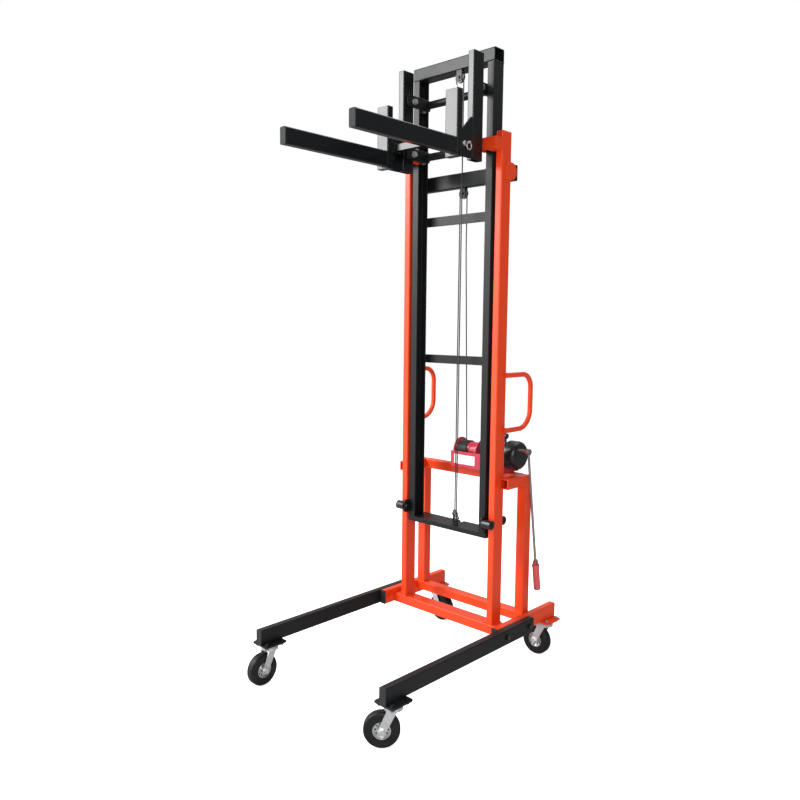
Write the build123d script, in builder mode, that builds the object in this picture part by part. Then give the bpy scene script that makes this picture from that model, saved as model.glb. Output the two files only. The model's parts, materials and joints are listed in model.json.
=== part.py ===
from build123d import *
import os
from math import acos, atan2, ceil, cos, degrees, dist, hypot, pi, sin, sqrt

# A manual pipe installation lift: a wheeled base with two long legs, two fixed posts, an inner mast that
# telescopes between them and a fork carriage that runs in the mast, raised by a hand winch and wire rope.
# Millimetres. +X is to the right seen from the front, on the crank's side, +Y runs to the rear, +Z is up.
# The origin is on the floor, at the middle of the footprint.

os.makedirs("parts", exist_ok=True)

# Fits and clearances
running = 0.05          # radial play of a shaft in its hole
free = 0.3              # gap between moving faces
bolt_play = 0.2         # radial play of a bolt in its hole
slide_play = 0.5        # gap round the fork's sliding sleeve
stack_gap = 3           # side gap beside a roller or sheave cheek

# Casters
wheel_d = 125
tread = 36
hub_d = 62
hub_boss_d = 28
hub_web = 12
rim_t = 3
rim_inset = 2
hub_hole_d = 7
hub_hole_circle = 44
hub_hole_count = 10
axle_d = 12
trail = 38
caster_height = 156
caster_plate_x = 80
caster_plate_y = 90
caster_plate_t = 4
caster_plate_corner = 6
caster_bolt_x = 60
caster_bolt_y = 70
caster_bolt_d = 8
caster_bolt_head = 5
caster_bolt_nut = 6
raceway_d = 60
raceway_t = 8
crown_d = 66
crown_t = 10
kingpin_d = 14
kingpin_nut_over = 5
yoke_leg_t = 4
yoke_boss_r = 15
pedal_t = 5
pedal_reach = 66
pedal_pin_d = 8

# Base frame of oblong tube
tube_wall = 3
tube_w = 30
tube_h = 60
square = 40
mount_plate_x = 90
mount_plate_y = 100
mount_plate_t = 6
mount_plate_corner = 8
rail_inner = 290
rail_front = 55
rail_rear = 350
leg_front = 705
leg_rear = 145
leg_bolt_d = 12
leg_bolt_head = 7
leg_bolt_nut = 9
leg_bolt_ys = (-30, 120)
front_swivel = 655
rear_swivel = 305
front_beam_h = 40
cap_t = 3
cap_plug = 14

# Posts, handles and winch stand
post_inner = 220
post_top = 2125
stand_y = 155
stand_top = 795
stand_arm_front = 30
stand_corner_r = 12
handle_d = 20
handle_top = 1203
handle_low = 985
handle_reach = 215
handle_start = 45
handle_top_r = 55
handle_low_r = 75
head_bar_y = 72
head_bar_z = 1953
head_bar_deep = 30
head_bar_high = 60
ear_t = 5
ear_front = 25
ear_reach = 90
ear_margin = 3

# Inner mast
mast_outer = 204
mast_wall = 4
mast_bottom = 570
mast_top = 2390
mast_top_bar_h = 50
mast_top_bar_x = 205
mast_foot_t = 20
mast_foot_x = 209
mast_foot_deep = 95
mast_foot_notch = 20
cross_bar_t = 6
cross_bars = ((1806, 38), (1236, 35))
foot_plate_t = 8
foot_plate_h = 52
foot_plate_corner = 8
foot_axle_z = 615
guide_roller_r = 18
guide_axle_d = 12
front_roller_w = 40
rear_roller_w = 28
post_roller_z = 2077
post_bracket_h = 46
post_bracket_t = 6
post_bracket_front = 41
post_bracket_skin = 3

# Carriage and forks
upright_inner = 162
upright_rear = 45
upright_long = 393
side_plate_t = 8
side_plate_h = 44
side_plate_corner = 10
side_plate_front = 90
side_plate_rear = 48
cross_tube_d = 30
upper_tube_rise = 281
lower_tube_rise = 73
carriage_tube_y = 30
carriage_axle_d = 16
carriage_roller_w = 20
beam_front = 180
beam_high = 96
beam_wall = 5
fork_bar = 26
fork_bar_rise = 76
gusset_t = 6
gusset_rise = 54
gusset_top = 12
gusset_step = 10
fork_gap = 2
fork_shank_w = 60
fork_shank_t = 30
fork_shank_drop = 5
fork_shank_long = 238
fork_arm_rise = 1
fork_tip = 712
fork_outer = 205
sleeve_long = 50
sleeve_wall = 5
sleeve_bite = 1
pin_d = 10
pin_long = 34
pin_collar_t = 4
pin_ring_inset = 5
pin_ring_d = 26
pin_ring_wire = 4
pin_y = 157
pin_rise = 48

# Rope and sheaves
rope_d = 5
sheave_pitch_r = 18
foot_pitch_r = 15
sheave_w = 10
sheave_lip = 3
sheave_pin_d = 10
cheek_t = 3
cheek_corner = 3
sheave_pin_over = 4
head_sheave_x = 0
head_sheave_y = 84
head_sheave_z = 1930
top_sheave_x = 34
top_sheave_y = 8
top_sheave_drop = 28
foot_sheave_z = 600
lug_rise = 32
rope_drop_long = 37
lug_wide = 16
lug_t = 8
lead_bend_z = 1700
lead_bend_r = 4000

# Winch
winch_left = -66
winch_right = 205
winch_base_t = 5
winch_front = 110
winch_rear = 225
winch_front_top = 862
winch_cheek_r = 52
winch_plate_t = 4
end_plate_margin = 22
end_plate_shoulder = 10
drum_left_plate = -62
drum_right_plate = 55
drum_y = 172
drum_z = 862
drum_flange_d = 92
drum_flange_t = 4
drum_shaft_d = 16
drum_rope_r = 40
drum_rope_left = -47
drum_rope_leaves = 3
drum_rope_pitch = 5.6
drum_rope_wrap = 0.5
gear_module = 2
gear_teeth = 36
pinion_teeth = 12
gear_w = 12
gear_x = 212
pinion_back = -34
cover_y = 163
cover_z = 870
cover_d = 118
cover_wall = 2.5
cover_right = 262
cover_round = 22
crank_shaft_d = 14
crank_x = 310
crank_rod_d = 10
crank_hub_d = 26
crank_hub_t = 14
crank_drop = 466
crank_back = 72
grip_long = 105
grip_r = 14
grip_knuckle_w = 12
grip_pin_d = 6
grip_ear_t = 5
grip_start = 12
grip_collar_t = 6
lever_pivot_y = 152
lever_pivot_z = 912
lever_x = 188
lever_t = 5
lever_long = 34
lever_knob_d = 22
lever_knob_long = 16
lever_boss_d = 18
lever_wide = 10
lever_stud_d = 8

# Worked out from the sizes above
wheel_r = wheel_d / 2
front_reach = front_swivel + trail + wheel_r
rear_reach = rear_swivel + mount_plate_y / 2
post_front = (front_reach - rear_reach) / 2
rail_z = caster_height + mount_plate_t
rail_mid_z = rail_z + tube_h / 2
rail_top = rail_z + tube_h
rail_x = rail_inner + tube_w / 2
leg_x = rail_x + tube_w
post_x = post_inner + tube_w / 2
post_outer = post_inner + tube_w
post_rear = post_front + tube_h
post_foot = rail_z + front_beam_h
mast_x = mast_outer - tube_w / 2
mast_rear = post_front + tube_h
rope_r = rope_d / 2
top_sheave_z = mast_top - top_sheave_drop
lug_z = top_sheave_z - rope_drop_long
upper_tube_z = lug_z - lug_rise
carriage_bottom = upper_tube_z - upper_tube_rise
lower_tube_z = carriage_bottom + lower_tube_rise
fork_bar_z = carriage_bottom + fork_bar_rise
fork_shank_bottom = carriage_bottom - fork_shank_drop
pin_z = carriage_bottom + pin_rise
groove_r = rope_r + free
sides = (("left", -1), ("right", 1))


def keep(piece, name):
    """Names a finished piece and writes it."""
    piece.part.label = name
    export_step(piece.part, f"parts/{name}.step")


def level(z):
    """A flat plane at height z, looking up."""
    return Plane.XY.offset(z)


def facing_right(x):
    """A plane across the lift at x: its own axes run to the rear and up."""
    return Plane.YZ.offset(x)


def facing_front(y):
    """A plane along the lift at y: its own axes run to the right and up."""
    return Plane.XZ.offset(-y)


def box_tube(plane, middle, wide, high, length, wall=tube_wall):
    """An oblong tube with round corners that runs from its plane."""
    with BuildPart() as tube:
        with BuildSketch(plane):
            with Locations(middle):
                RectangleRounded(wide, high, 1.6 * wall)
                RectangleRounded(wide - 2 * wall, high - 2 * wall, 0.6 * wall, mode=Mode.SUBTRACT)
        extrude(amount=length)
    return tube


def tube_cap(plane, middle, wide, high, wall=tube_wall):
    """A plastic end cap: a cover plate on the plane and a plug that goes into the tube behind it."""
    with BuildPart() as cap:
        with BuildSketch(plane):
            with Locations(middle):
                RectangleRounded(wide, high, 1.6 * wall)
        extrude(amount=cap_t)
        with BuildSketch(plane):
            with Locations(middle):
                plug_w = wide - 2 * wall - 2 * running
                plug_h = high - 2 * wall - 2 * running
                RectangleRounded(plug_w, plug_h, 0.6 * wall)
        extrude(amount=-cap_plug)
    return cap


def hex_bolt(d, grip, head_t, nut_t):
    """A bolt along +Z: its head lies below the origin, its nut above the grip length."""
    with BuildPart() as bolt:
        with BuildSketch(level(-head_t)):
            RegularPolygon(0.85 * d, 6, major_radius=False)
        extrude(amount=head_t)
        with BuildSketch(level(0)):
            Circle(d / 2)
        extrude(amount=grip + nut_t + 0.3 * d)
        with BuildSketch(level(grip)):
            RegularPolygon(0.85 * d, 6, major_radius=False)
        extrude(amount=nut_t)
    return bolt


def sheave(plane, pitch_r):
    """A grooved rope wheel about the plane's normal, centred on the plane's origin."""
    side = Plane(plane.origin, x_dir=plane.x_dir, z_dir=plane.y_dir)
    with BuildPart() as wheel:
        with BuildSketch(side):
            with BuildLine():
                Polyline(
                    (sheave_pin_d / 2 + running, -sheave_w / 2),
                    (pitch_r + sheave_lip, -sheave_w / 2),
                    (pitch_r + sheave_lip, sheave_w / 2),
                    (sheave_pin_d / 2 + running, sheave_w / 2),
                    close=True,
                )
            make_face()
            with Locations((pitch_r, 0)):
                Circle(groove_r, mode=Mode.SUBTRACT)
            with Locations((pitch_r + sheave_lip / 2 + groove_r / 2, 0)):
                Rectangle(sheave_lip + groove_r, 2 * groove_r, mode=Mode.SUBTRACT)
        revolve(axis=Axis(plane.origin, plane.z_dir))
    return wheel


def sheave_cheeks(plane, half_wide, low, high):
    """Two cheek plates and the pin that carry a sheave; low and high are measured from its centre."""
    inner = sheave_w / 2 + free
    with BuildPart() as block:
        for side in (inner, -inner - cheek_t):
            with BuildSketch(plane.offset(side)):
                with Locations((0, (low + high) / 2)):
                    RectangleRounded(2 * half_wide, high - low, cheek_corner)
            extrude(amount=cheek_t)
        with BuildSketch(plane.offset(-inner - cheek_t - sheave_pin_over)):
            Circle(sheave_pin_d / 2)
        extrude(amount=2 * (inner + cheek_t + sheave_pin_over))
    return block


def rope_tube(path):
    """A rope along its path."""
    start = path.line @ 0
    with BuildPart() as rope:
        with BuildSketch(Plane(start, z_dir=path.line % 0)):
            Circle(rope_r)
        sweep(path=path.line)
    return rope


# Side rails, each with the plate that its rear caster bolts to
with BuildPart() as side_rails:
    for side, sign in sides:
        with BuildSketch(facing_front(post_front - rail_front)):
            with Locations((sign * rail_x, rail_mid_z)):
                RectangleRounded(tube_w, tube_h, 1.6 * tube_wall)
                RectangleRounded(
                    tube_w - 2 * tube_wall, tube_h - 2 * tube_wall, 0.6 * tube_wall, mode=Mode.SUBTRACT
                )
        extrude(amount=-rail_front - rail_rear)
        with BuildSketch(level(caster_height)):
            with Locations((sign * rail_x, post_front + rear_swivel)):
                RectangleRounded(mount_plate_x, mount_plate_y, mount_plate_corner)
                with GridLocations(caster_bolt_x, caster_bolt_y, 2, 2):
                    Circle(caster_bolt_d / 2 + bolt_play, mode=Mode.SUBTRACT)
        extrude(amount=mount_plate_t)
        with BuildSketch(facing_right(-rail_x - tube_w)):
            with Locations(*[(post_front + y, rail_mid_z) for y in leg_bolt_ys]):
                Circle(leg_bolt_d / 2 + bolt_play)
        extrude(amount=2 * (rail_x + tube_w), mode=Mode.SUBTRACT)
keep(side_rails, "side_rails")

# Cross beams between the rails: the front one carries the posts, the rear one the winch stand
front_beam_mid = (post_front + tube_h / 2, rail_z + front_beam_h / 2)
rear_beam_mid = (post_front + stand_y + square / 2, rail_top - square / 2)
front_beam = box_tube(facing_right(-rail_inner), front_beam_mid, tube_h, front_beam_h, 2 * rail_inner)
rear_beam = box_tube(facing_right(-rail_inner), rear_beam_mid, square, square, 2 * rail_inner)
with BuildPart() as cross_beams:
    add(front_beam.part)
    add(rear_beam.part)
keep(cross_beams, "cross_beams")

# Legs, bolted beside the rails, each with the plate that its front caster bolts to
for side, sign in sides:
    with BuildPart() as leg:
        with BuildSketch(facing_front(post_front - leg_front)):
            with Locations((sign * leg_x, rail_mid_z)):
                RectangleRounded(tube_w, tube_h, 1.6 * tube_wall)
                RectangleRounded(
                    tube_w - 2 * tube_wall, tube_h - 2 * tube_wall, 0.6 * tube_wall, mode=Mode.SUBTRACT
                )
        extrude(amount=-leg_front - leg_rear)
        with BuildSketch(level(caster_height)):
            with Locations((sign * leg_x, post_front - front_swivel)):
                RectangleRounded(mount_plate_x, mount_plate_y, mount_plate_corner)
                with GridLocations(caster_bolt_x, caster_bolt_y, 2, 2):
                    Circle(caster_bolt_d / 2 + bolt_play, mode=Mode.SUBTRACT)
        extrude(amount=mount_plate_t)
        with BuildSketch(facing_right(sign * leg_x - tube_w)):
            with Locations(*[(post_front + y, rail_mid_z) for y in leg_bolt_ys]):
                Circle(leg_bolt_d / 2 + bolt_play)
        extrude(amount=2 * tube_w, mode=Mode.SUBTRACT)
    keep(leg, f"{side}_leg")

# Caps in the open tube ends of the legs, the rails and the posts
leg_cap_front = tube_cap(facing_front(post_front - leg_front), (0, rail_mid_z), tube_w, tube_h)
leg_cap_rear = tube_cap(Plane.ZX.offset(post_front + leg_rear), (rail_mid_z, 0), tube_h, tube_w)
rail_cap_front = tube_cap(facing_front(post_front - rail_front), (0, rail_mid_z), tube_w, tube_h)
rail_cap_rear = tube_cap(Plane.ZX.offset(post_front + rail_rear), (rail_mid_z, 0), tube_h, tube_w)
post_cap = tube_cap(level(post_top), (0, post_front + tube_h / 2), tube_w, tube_h)
with BuildPart() as tube_caps:
    for side, sign in sides:
        with Locations((sign * leg_x, 0, 0)):
            add(leg_cap_front.part)
            add(leg_cap_rear.part)
        with Locations((sign * rail_x, 0, 0)):
            add(rail_cap_front.part)
            add(rail_cap_rear.part)
        with Locations((sign * post_x, 0, 0)):
            add(post_cap.part)
keep(tube_caps, "tube_caps")

# Posts
for side, sign in sides:
    middle = (sign * post_x, post_front + tube_h / 2)
    keep(box_tube(level(post_foot), middle, tube_w, tube_h, post_top - post_foot), f"{side}_post")

# Winch stand: two bent uprights whose arms reach forward beside the posts, and a bar between them
stand_front = post_front + stand_y
stand_rear = stand_front + square
with BuildPart() as winch_uprights:
    for side, sign in sides:
        near = post_outer if sign > 0 else -post_outer - square
        for inset, mode in ((0, Mode.ADD), (tube_wall, Mode.SUBTRACT)):
            with BuildSketch(facing_right(near + inset)):
                with BuildLine():
                    Polyline(
                        (post_front + stand_arm_front, stand_top - square + inset),
                        (post_front + stand_arm_front, stand_top - inset),
                        (stand_rear - inset, stand_top - inset),
                        (stand_rear - inset, rail_top),
                        (stand_front + inset, rail_top),
                        (stand_front + inset, stand_top - square + inset),
                        close=True,
                    )
                outline = make_face()
                corner = outline.vertices().sort_by(lambda v: v.Y + v.Z)[-1]
                fillet(corner, stand_corner_r - inset)
            extrude(amount=square - 2 * inset, mode=mode)
keep(winch_uprights, "winch_uprights")
crossbar_mid = (stand_front + square / 2, stand_top - square / 2)
keep(box_tube(facing_right(-post_outer), crossbar_mid, square, square, 2 * post_outer), "winch_crossbar")

# Head bar behind the posts, and the ears that carry it on the posts' outer faces
head_mid = (post_front + head_bar_y + head_bar_deep / 2, head_bar_z + head_bar_high / 2)
keep(box_tube(facing_right(-post_outer), head_mid, head_bar_deep, head_bar_high, 2 * post_outer), "head_bar")

# Brackets welded to the posts: the head bar's ears, and a box at each post top that carries a guide roller
guide_y = post_front - guide_roller_r - free
bracket_inner = mast_outer - tube_w - post_bracket_t
bracket_face = post_front - post_bracket_front
ear_round = head_bar_high / 2 + ear_margin
with BuildPart() as post_brackets:
    for side, sign in sides:
        with BuildSketch(facing_right(post_outer if sign > 0 else -post_outer - ear_t)):
            with Locations((post_front + ear_reach - ear_round, head_mid[1])):
                Circle(ear_round)
            with Locations((post_front + (ear_front + ear_reach - ear_round) / 2, head_mid[1])):
                Rectangle(ear_reach - ear_round - ear_front, 2 * ear_round)
        extrude(amount=ear_t)
        with BuildSketch(level(post_roller_z - post_bracket_h / 2)):
            with BuildLine():
                Polyline(
                    (sign * bracket_inner, bracket_face),
                    (sign * post_outer, bracket_face),
                    (sign * post_outer, post_front),
                    (sign * (mast_outer + stack_gap), post_front),
                    (sign * (mast_outer + stack_gap), bracket_face + post_bracket_skin),
                    (sign * (bracket_inner + post_bracket_t), bracket_face + post_bracket_skin),
                    (sign * (bracket_inner + post_bracket_t), post_front - 2 * free),
                    (sign * bracket_inner, post_front - 2 * free),
                    close=True,
                )
            make_face()
        extrude(amount=post_bracket_h)
        with BuildSketch(facing_right(sign * bracket_inner)):
            with Locations((guide_y, post_roller_z)):
                Circle(guide_axle_d / 2)
        extrude(amount=sign * (mast_outer + 2 * stack_gap - bracket_inner))
keep(post_brackets, "post_brackets")
post_roller_w = tube_w - 2 * free
with BuildPart() as post_rollers:
    for side, sign in sides:
        with BuildSketch(facing_right(sign * (mast_outer - tube_w + 2 * free))):
            with Locations((guide_y, post_roller_z)):
                Circle(guide_roller_r)
                Circle(guide_axle_d / 2 + running, mode=Mode.SUBTRACT)
        extrude(amount=sign * post_roller_w)
keep(post_rollers, "post_rollers")

# Push handles: round loops on the posts' outer faces
handle_x = post_outer + handle_d / 2 + running
with BuildPart() as push_handles:
    for side, sign in sides:
        with BuildLine() as handle_line:
            FilletPolyline(
                (sign * handle_x, post_front + handle_start, handle_top),
                (sign * handle_x, post_front + handle_reach, handle_top),
                (sign * handle_x, post_front + handle_reach, handle_low),
                (sign * handle_x, post_front + handle_start, handle_low),
                radius=[handle_top_r, handle_low_r],
            )
        with BuildSketch(Plane(handle_line.line @ 0, z_dir=handle_line.line % 0)):
            Circle(handle_d / 2)
        sweep(path=handle_line.line)
keep(push_handles, "push_handles")

# Casters: rest headings are the way each wheel trails from its swivel, in degrees from +X
casters = (
    ("front_left", -leg_x, post_front - front_swivel, -90, False),
    ("front_right", leg_x, post_front - front_swivel, -136.7, False),
    ("rear_left", -rail_x, post_front + rear_swivel, 0, True),
    ("rear_right", rail_x, post_front + rear_swivel, 180, True),
)
caster_plate_low = caster_height - caster_plate_t
raceway_low = caster_plate_low - raceway_t
crown_top = raceway_low - free
crown_low = crown_top - crown_t
nut_r = kingpin_d / 2 + kingpin_nut_over
with BuildPart() as caster_plates:
    for name, x, y, heading, braked in casters:
        with BuildSketch(level(caster_plate_low)):
            with Locations((x, y)):
                RectangleRounded(caster_plate_x, caster_plate_y, caster_plate_corner)
                with GridLocations(caster_bolt_x, caster_bolt_y, 2, 2):
                    Circle(caster_bolt_d / 2 + bolt_play, mode=Mode.SUBTRACT)
        extrude(amount=caster_plate_t)
        with BuildSketch(level(raceway_low)):
            with Locations((x, y)):
                Circle(raceway_d / 2)
        extrude(amount=raceway_t)
        with BuildSketch(level(crown_low - free)):
            with Locations((x, y)):
                Circle(kingpin_d / 2)
        extrude(amount=crown_t + 2 * free)
        with BuildSketch(level(crown_low - free)):
            with Locations((x, y)):
                RegularPolygon(nut_r, 6)
        extrude(amount=-kingpin_d / 2)
keep(caster_plates, "caster_plates")

# All bolts of the frame: four in each caster plate, two through each leg and rail
caster_bolt = hex_bolt(caster_bolt_d, caster_plate_t + mount_plate_t, caster_bolt_head, caster_bolt_nut)
leg_bolt = hex_bolt(leg_bolt_d, 2 * tube_w, leg_bolt_head, leg_bolt_nut)
with BuildPart() as frame_bolts:
    for name, x, y, heading, braked in casters:
        with Locations((x, y, caster_plate_low)):
            with GridLocations(caster_bolt_x, caster_bolt_y, 2, 2):
                add(caster_bolt.part)
    for side, sign in sides:
        head_side = Plane((sign * (leg_x + tube_w / 2), post_front, rail_mid_z), z_dir=(-sign, 0, 0))
        for y in leg_bolt_ys:
            with Locations(Location((0, y, 0)) * head_side.location):
                add(leg_bolt.part)
keep(frame_bolts, "frame_bolts")

# One caster's yoke, wheel and brake pedal, made at the origin with the wheel trailing along +X
leg_inner = tread / 2 + stack_gap
pedal_x = trail + pedal_pin_d
pedal_z = crown_top - pedal_pin_d / 2 - 1
hub = (trail, wheel_r)
with BuildPart() as plain_yoke:
    with BuildSketch(level(crown_low)):
        Circle(crown_d / 2)
    extrude(amount=crown_t)
    for near in (leg_inner, -leg_inner - yoke_leg_t):
        with BuildSketch(Plane.XZ.offset(near)):
            with BuildLine():
                Polyline(
                    (-1.2 * yoke_boss_r, crown_top),
                    (1.2 * yoke_boss_r, crown_top),
                    (trail + yoke_boss_r, wheel_r),
                    (trail - yoke_boss_r, wheel_r),
                    close=True,
                )
            make_face()
            with Locations(hub):
                Circle(yoke_boss_r)
        extrude(amount=yoke_leg_t)
    with BuildSketch(level(crown_low)):
        Circle(kingpin_d / 2 + running)
    extrude(amount=crown_t, mode=Mode.SUBTRACT)
    with BuildSketch(Plane.XZ.offset(-leg_inner - yoke_leg_t)):
        with Locations(hub):
            Circle(axle_d / 2)
    extrude(amount=2 * (leg_inner + yoke_leg_t))
    for face, way in ((leg_inner + yoke_leg_t, 1), (-leg_inner - yoke_leg_t, -1)):
        with BuildSketch(Plane.XZ.offset(face)):
            with Locations(hub):
                RegularPolygon(0.85 * axle_d, 6, major_radius=False)
        extrude(amount=way * 0.6 * axle_d)
with BuildPart() as braked_yoke:
    add(plain_yoke.part)
    lug_front = yoke_boss_r / 2
    lug_rear = pedal_x + pedal_pin_d
    for near in (leg_inner, -leg_inner - yoke_leg_t):
        with BuildSketch(Plane.XZ.offset(near)):
            with Locations(((lug_front + lug_rear) / 2, crown_top - 0.75 * crown_t)):
                Rectangle(lug_rear - lug_front, 1.5 * crown_t)
        extrude(amount=yoke_leg_t)
    with BuildSketch(Plane.XZ.offset(-leg_inner - yoke_leg_t)):
        with Locations((pedal_x, pedal_z)):
            Circle(pedal_pin_d / 2 + running)
    extrude(amount=2 * (leg_inner + yoke_leg_t), mode=Mode.SUBTRACT)

rim_r = hub_d / 2
with BuildPart() as caster_wheel:
    with BuildSketch(Plane.XZ.offset(-tread / 2)):
        with Locations(hub):
            Circle(wheel_r)
            Circle(rim_r + running, mode=Mode.SUBTRACT)
    extrude(amount=tread)
    round_edges = caster_wheel.edges().filter_by(GeomType.CIRCLE)
    shoulders = round_edges.filter_by(lambda edge: edge.radius > 0.9 * wheel_r)
    fillet(shoulders, 0.28 * tread)
    with BuildSketch(Plane.XZ.offset(-tread / 2 + rim_inset)):
        with Locations(hub):
            Circle(rim_r)
            Circle(rim_r - rim_t, mode=Mode.SUBTRACT)
    extrude(amount=tread - 2 * rim_inset)
    with BuildSketch(Plane.XZ.offset(-hub_web / 2)):
        with Locations(hub):
            Circle(rim_r - rim_t / 2)
            with PolarLocations(hub_hole_circle / 2, hub_hole_count):
                Circle(hub_hole_d / 2, mode=Mode.SUBTRACT)
    extrude(amount=hub_web)
    with BuildSketch(Plane.XZ.offset(-leg_inner + free)):
        with Locations(hub):
            Circle(hub_boss_d / 2)
    extrude(amount=2 * (leg_inner - free))
    with BuildSketch(Plane.XZ.offset(-leg_inner)):
        with Locations(hub):
            Circle(axle_d / 2 + running)
    extrude(amount=2 * leg_inner, mode=Mode.SUBTRACT)

pedal_half = leg_inner - free
with BuildPart() as brake_pedal:
    with BuildSketch(Plane.XZ.offset(-pedal_half)):
        with Locations((pedal_x, pedal_z)):
            Circle(pedal_pin_d / 2 + 1)
        with Locations((pedal_x + pedal_reach / 2, pedal_z)):
            Rectangle(pedal_reach, pedal_t)
    extrude(amount=2 * pedal_half)
    with BuildSketch(Plane.XZ.offset(-leg_inner - yoke_leg_t)):
        with Locations((pedal_x, pedal_z)):
            Circle(pedal_pin_d / 2)
    extrude(amount=2 * (leg_inner + yoke_leg_t))

for name, x, y, heading, braked in casters:
    pieces = [("yoke", braked_yoke if braked else plain_yoke), ("wheel", caster_wheel)]
    if braked:
        pieces.append(("brake_pedal", brake_pedal))
    for kind, made in pieces:
        with BuildPart() as placed:
            with Locations(Location((x, y, 0), (0, 0, heading))):
                add(made.part)
        keep(placed, f"{name}_{kind}")

# Inner mast: two channels that open inward, a top bar, a foot bar and two flat cross bars behind
for side, sign in sides:
    with BuildPart() as mast_rail:
        with BuildSketch(level(mast_bottom)):
            with Locations((sign * mast_x, post_front + tube_h / 2)):
                Rectangle(tube_w, tube_h)
            with Locations((sign * (mast_x - mast_wall), post_front + tube_h / 2)):
                Rectangle(tube_w, tube_h - 2 * mast_wall, mode=Mode.SUBTRACT)
        extrude(amount=mast_top - mast_bottom)
    keep(mast_rail, f"mast_{side}_rail")
top_bar_mid = (post_front + tube_h / 2, mast_top + mast_top_bar_h / 2)
keep(
    box_tube(facing_right(-mast_top_bar_x), top_bar_mid, tube_h, mast_top_bar_h, 2 * mast_top_bar_x),
    "mast_top_bar",
)
with BuildPart() as mast_cross_bars:
    for low, high in cross_bars:
        with BuildSketch(level(low)):
            with Locations((0, mast_rear + cross_bar_t / 2)):
                Rectangle(2 * mast_outer, cross_bar_t)
        extrude(amount=high)
keep(mast_cross_bars, "mast_cross_bars")
with BuildPart() as mast_foot_bar:
    with BuildSketch(level(mast_bottom - mast_foot_t)):
        with Locations((0, post_front + mast_foot_deep / 2)):
            Rectangle(2 * mast_foot_x, mast_foot_deep)
        with Locations((head_sheave_x + sheave_pitch_r - rope_r, post_front + mast_foot_deep)):
            Rectangle(mast_foot_notch, 2 * mast_foot_notch, mode=Mode.SUBTRACT)
    extrude(amount=mast_foot_t)
keep(mast_foot_bar, "mast_foot_bar")

# Foot brackets on the mast's channels, with rollers that run on the front and rear faces of the posts
rear_guide_y = post_rear + guide_roller_r + free
plate_near = mast_outer
plate_far = mast_outer + foot_plate_t
plate_margin = guide_axle_d
with BuildPart() as mast_roller_brackets:
    for side, sign in sides:
        with BuildSketch(facing_right(sign * plate_near)):
            with BuildLine():
                Polyline(
                    (guide_y - plate_margin, foot_axle_z - foot_plate_h / 2),
                    (rear_guide_y + plate_margin, foot_axle_z - foot_plate_h / 2),
                    (rear_guide_y + plate_margin, foot_axle_z + foot_plate_h / 2),
                    (guide_y - plate_margin, foot_axle_z + foot_plate_h / 2),
                    close=True,
                )
            face = make_face()
            fillet(face.vertices(), foot_plate_corner)
        extrude(amount=sign * foot_plate_t)
        for axle_y, width in ((guide_y, front_roller_w), (rear_guide_y, rear_roller_w)):
            with BuildSketch(facing_right(sign * plate_near)):
                with Locations((axle_y, foot_axle_z)):
                    Circle(guide_axle_d / 2)
            extrude(amount=sign * (foot_plate_t + width + 2 * stack_gap))
            with BuildSketch(facing_right(sign * (plate_far + width + 2 * free))):
                with Locations((axle_y, foot_axle_z)):
                    Circle(0.8 * guide_axle_d)
            extrude(amount=sign * stack_gap)
            if axle_y == guide_y:
                with BuildSketch(facing_right(sign * plate_near)):
                    with Locations((axle_y, foot_axle_z)):
                        RegularPolygon(0.75 * guide_axle_d, 6, major_radius=False)
                extrude(amount=-sign * 0.6 * guide_axle_d)
keep(mast_roller_brackets, "mast_roller_brackets")
for name, axle_y, width in (("front", guide_y, front_roller_w), ("rear", rear_guide_y, rear_roller_w)):
    with BuildPart() as mast_rollers:
        for side, sign in sides:
            with BuildSketch(facing_right(sign * (plate_far + free))):
                with Locations((axle_y, foot_axle_z)):
                    Circle(guide_roller_r)
                    Circle(guide_axle_d / 2 + running, mode=Mode.SUBTRACT)
            extrude(amount=sign * width)
    keep(mast_rollers, f"mast_{name}_rollers")

# Rope sheaves: one under the head bar, one under the mast's top bar, two on the mast's foot bar
head_centre = (head_sheave_x, post_front + head_sheave_y, head_sheave_z)
top_centre = (top_sheave_x, post_front + top_sheave_y, top_sheave_z)
head_plane = Plane(head_centre, x_dir=(1, 0, 0), z_dir=(0, -1, 0))
top_plane = Plane(top_centre, x_dir=(1, 0, 0), z_dir=(0, -1, 0))
fall_foot = Vector(head_sheave_x - sheave_pitch_r, post_front + head_sheave_y, foot_sheave_z)
rise_foot = Vector(top_sheave_x + sheave_pitch_r, post_front + top_sheave_y, foot_sheave_z)
foot_way = (rise_foot - fall_foot).normalized()
foot_normal = foot_way.cross(Vector(0, 0, 1))
rear_foot_plane = Plane(fall_foot + foot_way * foot_pitch_r, x_dir=foot_way, z_dir=foot_normal)
front_foot_plane = Plane(rise_foot - foot_way * foot_pitch_r, x_dir=foot_way, z_dir=foot_normal)
keep(sheave(head_plane, sheave_pitch_r), "head_sheave")
keep(sheave(top_plane, sheave_pitch_r), "top_sheave")
keep(sheave(rear_foot_plane, foot_pitch_r), "rear_foot_sheave")
keep(sheave(front_foot_plane, foot_pitch_r), "front_foot_sheave")
cheek_over = 0.75 * sheave_pitch_r
keep(sheave_cheeks(head_plane, cheek_over, -cheek_over, head_bar_z - head_sheave_z), "head_block")
top_block = sheave_cheeks(top_plane, cheek_over, -cheek_over, mast_top - top_sheave_z)
foot_drop = mast_bottom - foot_sheave_z
foot_planes = (rear_foot_plane, front_foot_plane)
foot_blocks = [sheave_cheeks(plane, cheek_over, foot_drop, cheek_over) for plane in foot_planes]
with BuildPart() as mast_blocks:
    add(top_block.part)
    for block in foot_blocks:
        add(block.part)
keep(mast_blocks, "mast_blocks")

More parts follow.
